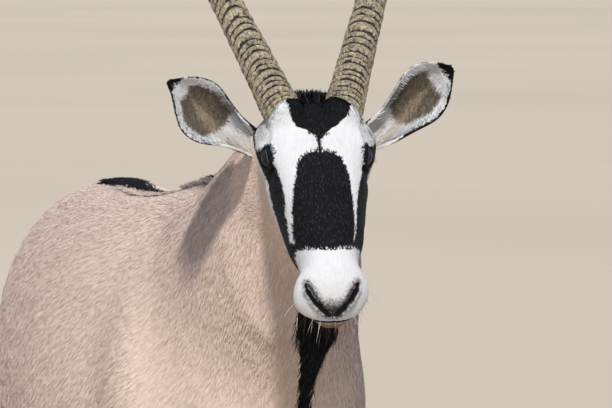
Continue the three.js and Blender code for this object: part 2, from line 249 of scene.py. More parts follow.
def line_distance(points, corners):
    """The distance from each point to a line through corners, how far along it is, and the nearest place."""
    corners = np.asarray(corners, float)
    best = np.full(len(points), 1e9)
    share = np.zeros(len(points))
    nearest = np.zeros_like(points)
    for number in range(len(corners) - 1):
        start = corners[number]
        way = corners[number + 1] - start
        along = np.clip((points - start) @ way / (way @ way), 0, 1)
        foot = start + along[:, None] * way
        gap = np.linalg.norm(points - foot, axis=1)
        closer = gap < best
        best[closer] = gap[closer]
        share[closer] = (number + along[closer]) / (len(corners) - 1)
        nearest[closer] = foot[closer]
    return best, share, nearest


# The face is shaped on the skin: lids round the eyes, slit nostrils, the mouth, the chin and a fuller muzzle.
# Each is a move of the vertices near it, in millimetres on the head's own axes.
nostril_line = np.array([
    (247, 36.5, -35),
    (259, 29.5, -40.5),
    (267.5, 22.5, -47.5),
    (273.5, 13.5, -55.5),
    (278.5, 4.5, -60.5),
])
muzzle_shift = 2.7
nostrils = {sign: nostril_line * (1, sign, 1) - (0, muzzle_shift, 0) for sign in (-1, 1)}
mouth_line = ([185, 230, 285], [-92, -84, -79])
eye_radius = 20
lid_half_long = 17.5
lid_axes = {}
horn_spread = math.radians(16)
horn_pitch = math.radians(-2)


def lid_chart(points, sign):
    """Each point's arm and reach from the eye's centre, its angle off the axis, and its arcs along and up."""
    centre, axis, long_way, tall_way = lid_axes[sign]
    arm = points - centre
    reach = np.maximum(np.linalg.norm(arm, axis=1), 1e-6)
    angle = np.arccos(np.clip(arm @ axis / reach, -1, 1))
    across, upward = arm @ long_way, arm @ tall_way
    arc = angle * eye_radius / np.maximum(np.hypot(across, upward), 1e-6)
    return arm, reach, angle, across * arc, upward * arc


def horn_line(sign):
    """Where a horn leaves the skull, and its way from there."""
    way = (-math.cos(horn_spread), sign * math.sin(horn_spread), math.sin(horn_pitch))
    return np.array((-92, sign * 49, -14)), np.array(way)


co = read(skin.data)
face = np.flatnonzero(face_region(co) | ((co[:, 0] > 0.66) & (to_head(co)[:, 0] > 0)))
local = to_head(co)[face]
out = normals(skin.data)[face] @ turn
fuller = 0.075 * step(0, 60, local[:, 0]) - 0.16 * step(145, 188, local[:, 0]) * step(232, 208, local[:, 0])
fuller += 0.035 * step(225, 245, local[:, 0]) * step(-100, -70, local[:, 2])
fuller += 0.10 * (local[:, 1] > 0) * step(-135, -100, local[:, 0]) * step(20, -20, local[:, 0])
local[:, 1] *= 1 + fuller
local[:, 1] -= muzzle_shift * step(215, 250, local[:, 0])
for sign in (-1, 1):
    off_brow = np.linalg.norm((local - (-48, sign * 80, -26)) * (0.8, 1, 1), axis=1)
    local += out * (4.0 * np.exp(-((off_brow / 28) ** 2)))[:, None]
co[face] = from_head(local)
write(skin.data, co)
whole = to_head(co)
brow_weight = 0.9 * step(-140, -118, whole[:, 0]) * step(8, -14, whole[:, 0])
brow_weight *= step(36, 52, np.abs(whole[:, 1])) * step(-150, -110, whole[:, 2]) * (co[:, 0] > 0.66)
relax(skin.data, brow_weight, 170)
jaw_weight = 0.9 * step(0.575, 0.615, co[:, 0]) * step(0.735, 0.70, co[:, 0]) * step(-80, -105, whole[:, 2])
relax(skin.data, jaw_weight * step(0.98, 1.03, co[:, 2]), 60)
co = read(skin.data)
local = to_head(co)[face]
out = normals(skin.data)[face] @ turn
for sign in (-1, 1):
    centre = to_head(np.array(eye_centre["left" if sign > 0 else "right"])[None])[0]
    axis = unit(np.array((0.20, sign * 0.90, 0.36)))
    long_way = np.array((0.96, 0, -0.20))
    long_way = unit(long_way - axis * (long_way @ axis))
    tall_way = np.cross(axis, long_way) * -sign
    lid_axes[sign] = (centre, axis, long_way, tall_way)
    arm, reach, angle, across, upward = lid_chart(local, sign)
    almond = np.hypot(across / lid_half_long, upward / np.where(upward > 0, 9.5, 11.5))
    ring = np.interp(almond, [0, 0.84, 0.97, 1.1, 1.35, 3], [17, 17.6, 21.2, 22.6, 22.0, 22.0])
    share = step(1.25, 2.0, almond)
    wanted = ring * (1 - share) + reach * share
    wanted = np.where(almond > 1.1, np.maximum(wanted, np.clip(reach, 21.8, 24)), wanted)
    crease = 1.3 * np.exp(-(((almond - 1.5) / 0.13) ** 2)) * step(-4, 4, upward)
    near = (reach < 48) & (angle < 1.9)
    local[near] = centre + arm[near] * ((wanted - crease) / reach)[near, None]
    gap, share, nearest = line_distance(local, nostrils[sign])
    ends = step(0, 0.1, share) * (0.55 + 0.45 * step(1, 0.75, share))
    local -= out * (9 * np.exp(-((gap / 3.0) ** 2)) * ends)[:, None]
    outer = step(-1, 3, (local - nearest) @ np.array((0.35, sign * 0.75, -0.55)))
    local += out * (3.0 * outer * np.exp(-(((gap - 7.5) / 4) ** 2)) * step(0.02, 0.2, share))[:, None]
for sign in (-1, 1):
    foot, way = horn_line(sign)
    arm = local - foot
    along = arm @ way
    off = arm - along[:, None] * way
    reach = np.linalg.norm(off, axis=1)
    outside = off[:, 1] * sign / np.maximum(reach, 1e-6)
    edge = -15 - 15 * step(-0.2, 0.9, outside)
    ramp = step(-68, -36, along) * step(0, -6, along - edge)
    wanted = 29.5 * ramp + reach * (1 - ramp)
    lifted = (reach < 30) & (along < 4) & (along > -70) & (off[:, 2] > -14)
    local[lifted] += off[lifted] * (np.maximum(wanted, reach) / np.maximum(reach, 3) - 1)[lifted, None]
gape = local[:, 2] - np.interp(local[:, 0], *mouth_line)
in_mouth = step(186, 200, local[:, 0])
local -= out * (5 * np.exp(-((gape / 2.2) ** 2)) * in_mouth)[:, None]
chin = step(0, -7, gape) * in_mouth
local[:, 2] += 2 * chin * step(215, 265, local[:, 0])
local[:, 1] *= 1 - 0.22 * chin
keel = (local[:, 0] > 205) & (local[:, 2] < -92)
local[keel, 2] = -92 + (local[keel, 2] + 92) * 0.35
local -= out * (1.6 * np.exp(-((local[:, 1] / 1.6) ** 2)) * step(274, 280, local[:, 0]))[:, None]
co[face] = from_head(local)
write(skin.data, co)

# Each ear is a thin leaf of gristle and skin, rolled at its root and open in front.
# It is the solid ear made fine and joined into the skin, with its root sunk in the side of the head.
ear_root = {"left": (-86, 62, -84), "right": (-86, -62, -84)}
ear_lean = {"left": (0.83, 0.53, 0.1), "right": (0.775, 0.57, 0.27)}
skin_count = len(skin.data.vertices)
ear_range = {}
for side in ("left", "right"):
    ear = copy_of("ear_" + side)
    bpy.ops.object.mode_set(mode="EDIT")
    bpy.ops.mesh.select_all(action="SELECT")
    bpy.ops.mesh.remove_doubles(threshold=0.00001)
    bpy.ops.mesh.tris_convert_to_quads()
    bpy.ops.mesh.select_all(action="DESELECT")
    bpy.ops.object.mode_set(mode="OBJECT")
    sign = 1 if side == "left" else -1
    out_way, up_way, back_way = ear_lean[side]
    lean = Vector((-back_way, sign * out_way, up_way)).normalized()
    root = Vector(from_head([ear_root[side]])[0])
    end_faces = [all((ear.data.vertices[v].co - root).dot(lean) < 0.0435 for v in face.vertices)
                 for face in ear.data.polygons]
    ear.data.polygons.foreach_set("select", end_faces)
    bpy.ops.object.mode_set(mode="EDIT")
    bpy.ops.mesh.extrude_region_move(TRANSFORM_OT_translate={"value": lean * -0.022})
    bpy.ops.transform.resize(value=(0.85, 0.85, 0.85), center_override=root + lean * 0.020)
    bpy.ops.mesh.extrude_region_move(TRANSFORM_OT_translate={"value": lean * -0.030})
    bpy.ops.transform.resize(value=(0.8, 0.8, 0.8), center_override=root - lean * 0.010)
    bpy.ops.object.mode_set(mode="OBJECT")
    finish_with(ear, "SUBSURF", levels=2, render_levels=2)
    ear_range[side] = (skin_count, skin_count + len(ear.data.vertices))
    skin_count += len(ear.data.vertices)
    select_only(skin, ear)
    bpy.ops.object.join()
skin_co = read(skin.data)
skin_normals = normals(skin.data)
# Half the width, and how far the middle lies below the ear's line, in millimetres at ten even steps.
ear_long = {"left": 181, "right": 166}
ear_rows = {
    "left": ([14, 18, 24, 28, 33, 39, 44, 41, 28, 5], [14, 14, 12, 11, 8, 5, 2, 0, -4, -6]),
    "right": ([13, 16, 23, 31, 39, 44, 44, 35, 20, 4], [16, 15, 15, 18, 20, 18, 15, 11, 8, 12]),
}


def ear_chart(points, facing):
    """Each point's share of the way to the tip, its place across in millimetres with the lower edge positive,
    how far it faces into the cup, and the ear's half width and length there."""
    chart = np.zeros((len(points), 5))
    for side, sign in (("left", 1), ("right", -1)):
        root = from_head(np.array([ear_root[side]]))[0]
        out_way, up_way, back_way = ear_lean[side]
        lean = unit(np.array((-back_way, sign * out_way, up_way)))
        arm = (points - root) * 1000
        front = np.array((0.985, -0.17, 0.0))
        front = unit(front - lean * (front @ lean))
        down = np.cross(front, lean)
        down *= -np.sign(down[2])
        along = arm @ lean / ear_long[side]
        middle, half = (np.interp(along * 9, np.arange(10), ear_rows[side][row]) for row in (1, 0))
        inner = facing @ front
        length = np.full(len(points), ear_long[side])
        mine = (points[:, 1] - place[1]) * sign > 0
        chart[mine] = np.stack([along, arm @ down - middle, inner, half, length], 1)[mine]
    return chart


# The coat's markings are set by outlines on the head's and the body's own axes, as distances in millimetres.
# A negative distance is inside the marking. Skin and tufts read the same ones.
patch_x = [19, 22, 27, 34, 46, 64, 108, 140, 170, 205]
patch_right = [0, 12, 24, 31, 38, 44, 63, 76, 84, 90]
patch_left = [0, 12, 25, 32, 38, 45, 52, 55, 57, 60]
stripe_x = [5, 27, 50, 71, 95, 117, 157]
stripe_right = [98, 86, 78, 76, 80, 87, 93]
stripe_left = [98, 88, 78, 71, 66, 62, 60]
cheek_x = [0, 46, 80, 120, 160, 200]
cheek_edge = [126, 124, 128, 134, 146, 160]
crown_x = [-125, -90, -78, -57, -42, -30, -22, -10, 0, 20]
crown_right = [64, 60, 44, 39, 36, 30, 16, 4, 2.5, 2.5]
crown_left = [64, 60, 58, 50, 44, 28, 19, 7, 2.5, 2.5]
brow_line = [(4, 112), (-22, 128), (-52, 144), (-84, 150), (-112, 148)]


def spine_y(x):
    """Where the crest of the neck and the ridge of the back lie across the body, in millimetres."""
    places = [-0.24, -0.08, 0.08, 0.24, 0.32, 0.40, 0.56, 0.70]
    return np.interp(x, places, [-76, -64, -48, -31, -23, -13, -10, -2])


def markings(points, facing, on_ear):
    near = to_head(points)
    x, y, z = near.T
    girth = np.abs(y) - z
    left = y > 0

    def reach(row, right_values, left_values):
        return np.where(left, np.interp(x, row, left_values), np.interp(x, row, right_values))

    head = (x > -150) & (z > -180) & (points[:, 0] > 0.66) & ~on_ear
    patch = np.maximum(girth - reach(patch_x, patch_right, patch_left), 19 - x)
    end = np.interp(girth, [0, 20, 46, 60, 91, 130, 165], [206, 205, 198, 189, 172, 180, 196])
    patch = np.maximum(patch, x - end)
    crown = np.maximum(np.abs(y - 1) - reach(crown_x, crown_right, crown_left), x - 20)
    crown = np.maximum(crown, -z - 60)
    inner_edge = reach(stripe_x, stripe_right, stripe_left)
    outer_edge = np.interp(x, cheek_x, cheek_edge)
    cheek = np.maximum(inner_edge - girth, girth - outer_edge)
    cheek = np.maximum(np.maximum(cheek, 4 - x), x - end)
    bridge = np.maximum(np.maximum(end - 12 - x, x - end), girth - outer_edge)
    brow, share, _ = line_distance(np.stack([x, girth], 1), brow_line)
    brow = brow - np.interp(share, [0, 0.25, 0.5, 1], [19, 11, 5, 5])
    for centre, axis, _, tall_way in lid_axes.values():
        brow = np.minimum(brow, np.linalg.norm(near - centre - axis * 6 + tall_way * 3, axis=1) - 22)
    jaw = np.maximum(np.abs(y) - np.interp(x, [20, 150], [16, 5]), z + 100)
    jaw = np.maximum(jaw, x - 175)
    black = np.minimum.reduce([patch, crown, cheek, bridge, brow, jaw])
    black = np.where(head, black, 60)
    pale = np.maximum(girth - np.interp(x, [-60, 0, 60, 200, 215], [160, 142, 142, 175, 400]), -115 - x)
    pale = np.minimum(pale, np.maximum(np.maximum(girth - 150, -112 - x), -z - 62))
    pale = np.where(head, pale, 60)
    wx, wy, wz = (points * 1000).T
    # The throat's stripe runs down the front of the neck to the breast, and narrows there.
    throat_z = [600, 700, 780, 880, 917, 942, 972, 983, 1004, 1034, 1075]
    centre = np.interp(wz, throat_z, [-20, 4, 22, 35.5, 35, 36, 36.5, 37.5, 37, 35, 36])
    half = np.interp(wz, throat_z, [45, 40, 24, 10.5, 12, 15.5, 22.5, 26.5, 33, 30, 14])
    throat = np.abs(wy - centre) - half
    throat = np.maximum(throat, 500 * (0.10 - facing @ np.array((0.86, 0.18, -0.42))))
    throat = np.maximum(throat, np.maximum(340 - wx, wz - 1150))
    throat = np.where(points[:, 0] < 0.74, throat, 60)
    # The spine's dark line widens over the rump into a patch round the root of the tail.
    off_spine = np.abs(wy - spine_y(points[:, 0]))
    line_half = np.interp(wx, [-900, -820, -700, -560, -420, -200, 150, 230, 420, 560],
                          [80, 52, 44, 38, 24, 11, 9, 14, 11, 10])
    spine = np.maximum(off_spine - line_half, 500 * (0.25 - facing[:, 2]))
    spine = np.maximum(np.maximum(spine, 840 - wz), wx - 700)
    seat = np.hypot(wy + 76, (wz - 1010) * 0.42) - 46
    seat = np.where((wx < -840) & (wz > 860), seat, 60)
    tail_black = np.where(wx < -918, np.minimum(60, (wz - 1010) / 2), 60)
    # A black band parts the fawn flank from the white belly, and black cuffs lie over white legs.
    belly_x = [-700, -560, -450, -300, 0, 200, 300, 420]
    belly = np.interp(wx, belly_x, [830, 800, 745, 722, 705, 715, 730, 760])
    flank = np.abs(wz - belly) - np.interp(wx, [-560, -300, 250], [46, 32, 36])
    flank = np.where(wz > 560, np.maximum(flank, np.abs(wx + 110) - 420), 60)
    below = np.where(wz > 560, np.maximum(wz - belly, np.abs(wx + 110) - 440), 60)
    fore = wx > -150
    cuff_top = np.where(fore, 650, 800) - 45 * step(-1, 1, facing[:, 0])
    cuff_foot = np.where(fore, 470, 548)
    leg_zone = wz < np.where(fore, 690, 860)
    cuff = np.maximum(wz - cuff_top, cuff_foot - wz)
    cuff = np.maximum(cuff, np.where(fore, -60, 600 * (-0.15 - facing[:, 0])))
    cuff = np.where(leg_zone & ((wx > 60) | (wx < -520)), cuff, 60)
    shin = np.where(fore, 0.55, 0.62)
    shin = np.maximum(600 * (shin - facing[:, 0]) / 8, np.maximum(wz - np.where(fore, 330, 350), 95 - wz))
    shin = np.where(wz < 420, shin, 60)
    sock = np.where((wz < 600) & (wx < 480), wz - np.where(fore, 520, 590), 60)
    black = np.minimum.reduce([black, throat, spine, seat, tail_black, flank, cuff, shin])
    white = np.minimum.reduce([pale, below, sock])
    # Inside the ear a white fringe of hair edges a grey-brown cup, and its tip and outer edge are black.
    along, across, inner, half, long = ear_chart(points, facing).T
    rim = half - np.abs(across)
    band = np.where(across > 0, 9, 3 + 5 * step(0.5, 0.7, along)) + 5 * step(0.62, 0.8, along)
    cup = np.minimum(rim - band, np.minimum((0.82 - along) * long, (along - 0.36) * long - 0.25 * across))
    cup = np.where(on_ear & (inner > 0), cup, -30)
    tip = (1.0 - along) * long
    edge = np.where(across > 0, 5.0, 3.0) * step(0.22, 0.42, along)
    ear_black = np.minimum(tip - 14 + 0.10 * across, rim - edge)
    outer_black = np.minimum(tip - 24, rim - 7 * step(0.3, 0.6, along))
    black = np.where(on_ear, np.where(inner > 0, ear_black, outer_black), black)
    white = np.where(on_ear, np.where(inner > 0, -20, 8 - 16 * step(0.45, 0.2, along)), white)
    ridge = np.abs(across - 3 + 26 * (along - 0.6)) - 8 * step(0.84, 0.55, along)
    root_fold = np.minimum(np.abs(across - 4), np.abs(across + 9)) - 4 + 60 * np.maximum(along - 0.2, 0)
    straw = np.where(on_ear & (inner > 0), np.minimum(ridge, np.maximum(root_fold, (along - 0.28) * 100)), 40)
    # Black painted shade fills the nostrils' slits, the line that parts the lips and the groove down the
    # nose's middle; a grey, stippled pad marks the nose; the chin is tan.
    off_middle = np.abs(y + muzzle_shift)
    pad = off_middle - np.interp(x, [247, 259, 267.5, 273.5, 279], [35, 28, 21, 13, 7])
    soot = np.where(z < -66, 40, np.maximum((279 - x) * 1.05, pad))
    # Painted shade: the slits, the lips' line and the nose's middle groove are drawn black, wider on each
    # slit's lower side.
    crisp = np.full(len(points), 40.0)
    for sign, line in nostrils.items():
        gap, share, nearest = line_distance(near, line)
        below = (near - nearest) @ np.array((0.35, sign * 0.75, -0.55)) > 0
        slit = gap - np.where(below, 5.5, 2.2) * step(-0.12, 0.2, share)
        crisp = np.minimum(crisp, slit - 0.5)
        soot = np.minimum(soot, slit + np.where(below, 5, 3))
    mouth = z - np.interp(x, *mouth_line)
    crisp = np.where(x > 196, np.minimum(crisp, np.abs(mouth) - 1.5), crisp)
    crisp = np.where((x > 274) & (z < -58) & (z > -70), np.minimum(crisp, off_middle - 0.7), crisp)
    crisp = np.where(head, crisp, 40)
    chin = np.where(head & (x > 150), np.maximum(mouth + 2, 180 - x), 40)
    return {
        "black": np.clip(black, -60, 60),
        "white": np.clip(white, -60, 60),
        "soot": np.clip(soot, -40, 40),
        "crisp": np.clip(crisp, -20, 20),
        "tan": np.clip(chin, -40, 40),
        "straw": np.clip(straw, -40, 40),
        "cup": np.clip(cup, -30, 60),
    }


neck_lie = np.array((-0.62, -0.10, -0.78))
trunk_lie = np.array((-0.78, 0, -0.62))
down_lie = np.array((0, 0, -1.0))


def hair_way(points, facing, on_ear):
    """The direction in which the hair lies at each point, in the surface."""
    near = to_head(points)
    x, y, z = near.T
    head = step(-170, -110, x) * (points[:, 0] > 0.60) * step(-230, -160, z)
    up_face = step(24, 6, x) * 2 - 1
    local_way = np.stack([up_face, 0.25 * np.sign(y) * step(20, 60, np.abs(y)), -0.9 * step(-15, -50, z)], 1)
    local_way[:, 0] = np.where(z < -60, -0.8, local_way[:, 0])
    face_way = local_way @ turn.T
    neck = step(0.36, 0.50, points[:, 0]) * (1 - head)
    leg = step(0.74, 0.58, points[:, 2]) * (1 - head)
    tail = step(-0.915, -0.93, points[:, 0]) * (1 - leg)
    trunk = np.clip(1 - head - neck - leg - tail, 0, 1)
    way = face_way * head[:, None] + neck[:, None] * neck_lie
    way = way + trunk[:, None] * trunk_lie + (leg + tail)[:, None] * down_lie
    for side, sign in (("left", 1), ("right", -1)):
        out_way, up_way, back_way = ear_lean[side]
        mine = on_ear & ((y > 0) == (sign > 0))
        way[mine] = (-back_way, sign * out_way, up_way)
    return unit(way - facing * np.sum(way * facing, 1)[:, None])


def put(mesh, name, values):
    """Keeps one number or vector for each vertex, where the materials read it."""
    kind = "FLOAT" if values.ndim == 1 else "FLOAT_VECTOR"
    layer = mesh.attributes.new(name, kind, "POINT")
    layer.data.foreach_set("value" if values.ndim == 1 else "vector", values.astype(np.float32).ravel())


skin_is_ear = np.zeros(len(skin_co), bool)
for first, last in ear_range.values():
    skin_is_ear[first:last] = True
for name, values in markings(skin_co, skin_normals, skin_is_ear).items():
    put(skin.data, name, values)


class Wire:
    """A socket of a material's nodes that sums, multiplies and compares like a number."""

    def __init__(self, tree, socket):
        self.tree = tree
        self.socket = socket

    def node(self, kind, settings=None, values=None, output=0):
        made = self.tree.nodes.new(kind)
        for key, value in (settings or {}).items():
            setattr(made, key, value)
        for key, value in (values or {}).items():
            if isinstance(value, Wire):
                self.tree.links.new(value.socket, made.inputs[key])
            else:
                made.inputs[key].default_value = value
        return Wire(self.tree, made.outputs[output])

    def maths(self, operation, *others):
        values = {0: self}
        values.update({number + 1: other for number, other in enumerate(others)})
        return self.node("ShaderNodeMath", {"operation": operation}, values)

    def __add__(self, other):
        return self.maths("ADD", other)

    def __sub__(self, other):
        return self.maths("SUBTRACT", other)

    def __mul__(self, other):
        return self.maths("MULTIPLY", other)

    def __rsub__(self, other):
        return (self * -1).maths("ADD", other)

    __radd__ = __add__
    __rmul__ = __mul__

    def clamp(self):
        return self.node("ShaderNodeClamp", {}, {0: self})

    def between(self, low, high):
        """Nought below low and one above high, smooth between; high may be the lesser."""
        return self.node(
            "ShaderNodeMapRange",
            {"interpolation_type": "SMOOTHSTEP"},
            {"Value": self, "From Min": low, "From Max": high, "To Min": 0.0, "To Max": 1.0},
        )

    def mixed(self, first, second):
        """The first colour where this is nought and the second where it is one."""
        return self.node("ShaderNodeMix", {"data_type": "RGBA"}, {0: self, 6: first, 7: second}, 2)

    def read(self, name, output=2):
        return self.node("ShaderNodeAttribute", {"attribute_name": name}, {}, output)

    def noise(self, vector, scale, detail=2.0, roughness=0.5):
        values = {"Vector": vector, "Scale": scale, "Detail": detail, "Roughness": roughness}
        return self.node("ShaderNodeTexNoise", {}, values)

    def place(self):
        return self.node("ShaderNodeTexCoord", {}, {}, 3)

    def bumped(self, strength, distance, shader):
        """Raises the finish where this is high."""
        values = {"Strength": strength, "Distance": distance, "Height": self}
        joined(self.node("ShaderNodeBump", {}, values), shader.inputs["Normal"])


def material(name, roughness):
    made = bpy.data.materials.new(name)
    made.use_nodes = True
    tree = made.node_tree
    shader = tree.nodes["Principled BSDF"]
    shader.inputs["Roughness"].default_value = roughness
    return made, Wire(tree, None), shader


def joined(wire, socket):
    wire.tree.links.new(wire.socket, socket)


def dress(thing, finish, smooth=True):
    """Gives a piece one finish all over."""
    mesh = thing.data
    mesh.materials.clear()
    mesh.materials.append(finish)
    mesh.polygons.foreach_set("material_index", np.zeros(len(mesh.polygons), np.int32))
    if smooth:
        mesh.polygons.foreach_set("use_smooth", np.ones(len(mesh.polygons), bool))
    mesh.update()


FAWN = (0.66, 0.53, 0.465, 1)
FAWN_GREY = (0.555, 0.43, 0.365, 1)
WHITE = (0.60, 0.605, 0.615, 1)
BLACK = (0.0045, 0.0046, 0.0055, 1)
# The lighter, bluish black below is a painted sheen of the sky on black hair, given to some tufts at random.
BLACK_SHEEN_TUFT = (0.026, 0.028, 0.034, 1)
SOOT = (0.014, 0.013, 0.013, 1)
TAN = (0.20, 0.135, 0.075, 1)
STRAW = (0.36, 0.285, 0.20, 1)
EAR_DARK = (0.050, 0.038, 0.026, 1)
EAR_PALE = (0.20, 0.165, 0.125, 1)


def coat_material(name, strand):
    """The coat's finish. strand is 1 on tufts, which add a shade of their own, and 0 on the skin."""
    made, start, shader = material(name, 0.62)
    place_in = start.place()
    ragged = start.noise(place_in, 260.0, 3.0, 0.6) - 0.5
    patchy = start.noise(place_in, 9.0, 3.0, 0.55)
    fine = start.noise(start.read("lie", 1), 1.0, 3.0, 0.6)
    shade = start.read("shade")
    loose = ragged * (3.0 if strand else 9.0)
    black = (start.read("black") + loose).between(1.2, -1.2)
    # Painted shade: black in the nostrils' slits, between the lips and down the nose's middle groove.
    crisp = (start.read("crisp") + ragged).between(0.9, -0.5)
    white = (start.read("white") + loose).between(2.5, -2.5)
    soot = (start.read("soot") + ragged * 18).between(15.0, 2.0)
    tan = (start.read("tan") + loose).between(4.0, -4.0)
    cup = (start.read("cup") + loose).between(-2.0, 6.0)
    fawn = (patchy * 0.7 + fine * 0.6 + shade * 0.5 - 0.45).clamp().mixed(FAWN_GREY, FAWN)
    colour = white.mixed(fawn, WHITE)
    colour = cup.mixed(colour, (fine * 1.5 - 0.35).clamp().mixed(EAR_DARK, EAR_PALE))
    straw = (start.read("straw") + ragged * 12).between(4.0, -6.0) * (fine * 1.2 - 0.05).clamp() * 0.9
    colour = straw.mixed(colour, STRAW)
    colour = tan.mixed(colour, TAN)
    # Black tufts with a high random shade take the painted sheen, a lighter bluish grey.
    colour = black.mixed(colour, (shade * 2.6 - 1.7).clamp().mixed(BLACK, BLACK_SHEEN_TUFT))
    colour = (soot * 0.93).mixed(colour, SOOT)
    colour = crisp.mixed(colour, BLACK)
    value = (fine - 0.5) * 0.26 + (shade - 0.5) * 0.14 + 1
    grey = start.node("ShaderNodeCombineColor", {}, {0: value, 1: value, 2: value})
    multiplied = {"data_type": "RGBA", "blend_type": "MULTIPLY"}
    colour = start.node("ShaderNodeMix", multiplied, {0: 1.0, 6: colour, 7: grey}, 2)
    joined(colour, shader.inputs["Base Color"])
    fine.bumped(0.12 if strand else 0.35, 0.003, shader)
    shader.inputs["Specular IOR Level"].default_value = 0.06
    shader.inputs["Sheen Weight"].default_value = 0.03
    shader.inputs["Sheen Roughness"].default_value = 0.5
    return made


def lie_place(points):
    """The point's place with the way of the hair drawn in, so that noise read there is in streaks."""
    near = to_head(points)
    head = (near[:, 0] > -150) & (points[:, 0] > 0.60) & (near[:, 2] > -200)
    leg = ~head & (points[:, 2] < 0.66)
    neck = ~head & ~leg & (points[:, 0] > 0.40)
    spot = points * 1000 / 3.2
    result = spot.copy()
    trunk = ~head & ~leg & ~neck
    for chosen, way in ((head, turn[:, 0]), (leg, down_lie), (neck, neck_lie), (trunk, trunk_lie)):
        way = unit(way)
        result[chosen] = spot[chosen] - 0.88 * (spot[chosen] @ way)[:, None] * way
    return result


put(skin.data, "lie", lie_place(skin_co))
put(skin.data, "shade", np.full(len(skin_co), 0.45))
dress(skin, coat_material("hide", 0))
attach(skin, "root")
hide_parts(*flesh, "ear_left", "ear_right")

# The horns are straight, slim and ringed over their lower part, of grey-brown horn, with painted shade
# darkening the grooves between the rings.
# Each is a grid rolled into a tube along the horn's line, swollen at each ring and closed at both ends.
horn_finish, start, shader = material("horn", 0.5)
ring = start.read("ring")
fade = start.read("fade")
place_in = start.place()
grain = start.noise(start.read("fibre", 1), 1.0, 4.0, 0.65)
blotch = start.noise(place_in, 60.0, 3.0, 0.6)
wobble = start.noise(start.read("turned", 1), 1.0, 2.0, 0.5)
phase = (ring + (wobble - 0.5) * 0.5).maths("FRACT")
crinkle = start.noise(place_in, 210.0, 4.0, 0.7)
groove = (phase - 0.5 + (crinkle - 0.5) * 0.16).maths("ABSOLUTE").between(0.34, 0.47) * fade
weathered = (grain * 1.6 + crinkle * 2.6 + blotch * 0.4 - 1.85).clamp()
pale = weathered.mixed((0.040, 0.034, 0.022, 1), (0.60, 0.505, 0.34, 1))
tip_colour = (grain * 0.8).clamp().mixed((0.03, 0.027, 0.025, 1), (0.07, 0.06, 0.052, 1))
colour = start.read("tip").mixed(pale, tip_colour)
# Painted shade: the grooves between the rings are darkened to a bluish near-black.
colour = (groove * (grain * 0.5 + 0.85)).clamp().mixed(colour, (0.022, 0.024, 0.030, 1))
joined(colour, shader.inputs["Base Color"])
(grain * 0.5 + crinkle * 0.7 - groove * 0.9).bumped(1.0, 0.004, shader)
horn_round = 48
horn_rows = 520
horn_length = 840
horn_sunk = 30
last_ring = 0.66
ring_places = [0.0]
while ring_places[-1] < last_ring:
    ring_places.append(ring_places[-1] + 0.0115 + 0.012 * min(1, ring_places[-1] / 0.3))


def face_outward():
    bpy.ops.object.mode_set(mode="EDIT")
    bpy.ops.mesh.select_all(action="SELECT")
    bpy.ops.mesh.normals_make_consistent(inside=False)
    bpy.ops.object.mode_set(mode="OBJECT")


for side, sign in (("left", 1), ("right", -1)):
    bpy.ops.object.select_all(action="DESELECT")
    bpy.ops.mesh.primitive_grid_add(
        x_subdivisions=horn_round, y_subdivisions=horn_rows, size=2, location=(0, 0, 0))
    horn = bpy.context.object
    horn.name = "horn_" + side + "_ringed"
    flat = read(horn.data)
    share = np.clip((flat[:, 1] + 1) / 2, 0, 1)
    angle = math.pi * (flat[:, 0] + 1)
    foot, way = horn_line(sign)
    way[0] *= math.cos(horn_pitch)
    way = unit(way)
    middle = foot + way * (share * horn_length - horn_sunk)[:, None]
    middle[:, 2] += 26 * np.sin(math.pi * share)
    radius = 3.2 + 23.3 * (1 - share) ** 0.86
    outward = unit(np.array((0, 0, 1.0)) - way * way[2])
    across = np.cross(way, outward)
    ring_phase = np.interp(share, ring_places, np.arange(len(ring_places)))
    # Rings stand out most on the front of the horn and run slightly up towards it.
    front = np.cos(angle)
    ring_phase = ring_phase - 0.35 * front + 0.10 * np.sin(2 * angle + 1.3 * sign)
    ring_phase = ring_phase + 0.16 * np.sin(ring_phase * 2.1 + 2 * sign)
    fade_out = step(0.70, 0.52, share) * step(0.0, 0.02, share)
    swell = np.abs(np.sin(math.pi * ring_phase)) ** 0.8 - 0.62
    uneven = 0.85 + 0.25 * np.sin(ring_phase * 2.3 + sign) * np.sin(angle + ring_phase)
    rings = 0.25 * swell * fade_out * (0.9 + 0.1 * front) * uneven
    radius = radius * (1 + rings + 0.04 * step(0.1, 0, share))
    radius *= 1 + 0.010 * np.sin(5 * angle + 9 * share) * (1 - share)
    co = middle + radius[:, None] * (np.cos(angle)[:, None] * outward + np.sin(angle)[:, None] * across)
    write(horn.data, from_head(co))
    put(horn.data, "ring", ring_phase)
    put(horn.data, "fade", fade_out)
    put(horn.data, "tip", step(0.55, 0.95, share))
    put(horn.data, "turned", np.stack([np.cos(angle) * 2.4, np.sin(angle) * 2.4, share * 24], 1))
    put(horn.data, "fibre", np.stack([np.cos(angle) * 16, np.sin(angle) * 16, share * 30], 1))
    merge_doubles(0.00002)
    bpy.ops.object.mode_set(mode="EDIT")
    bpy.ops.mesh.select_all(action="DESELECT")
    bpy.context.tool_settings.mesh_select_mode = (False, True, False)
    bpy.ops.mesh.select_non_manifold()
    bpy.ops.mesh.edge_face_add()
    bpy.ops.object.mode_set(mode="OBJECT")
    face_outward()
    dress(horn, horn_finish)
    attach(horn, "root")
    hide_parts("horn_" + side)
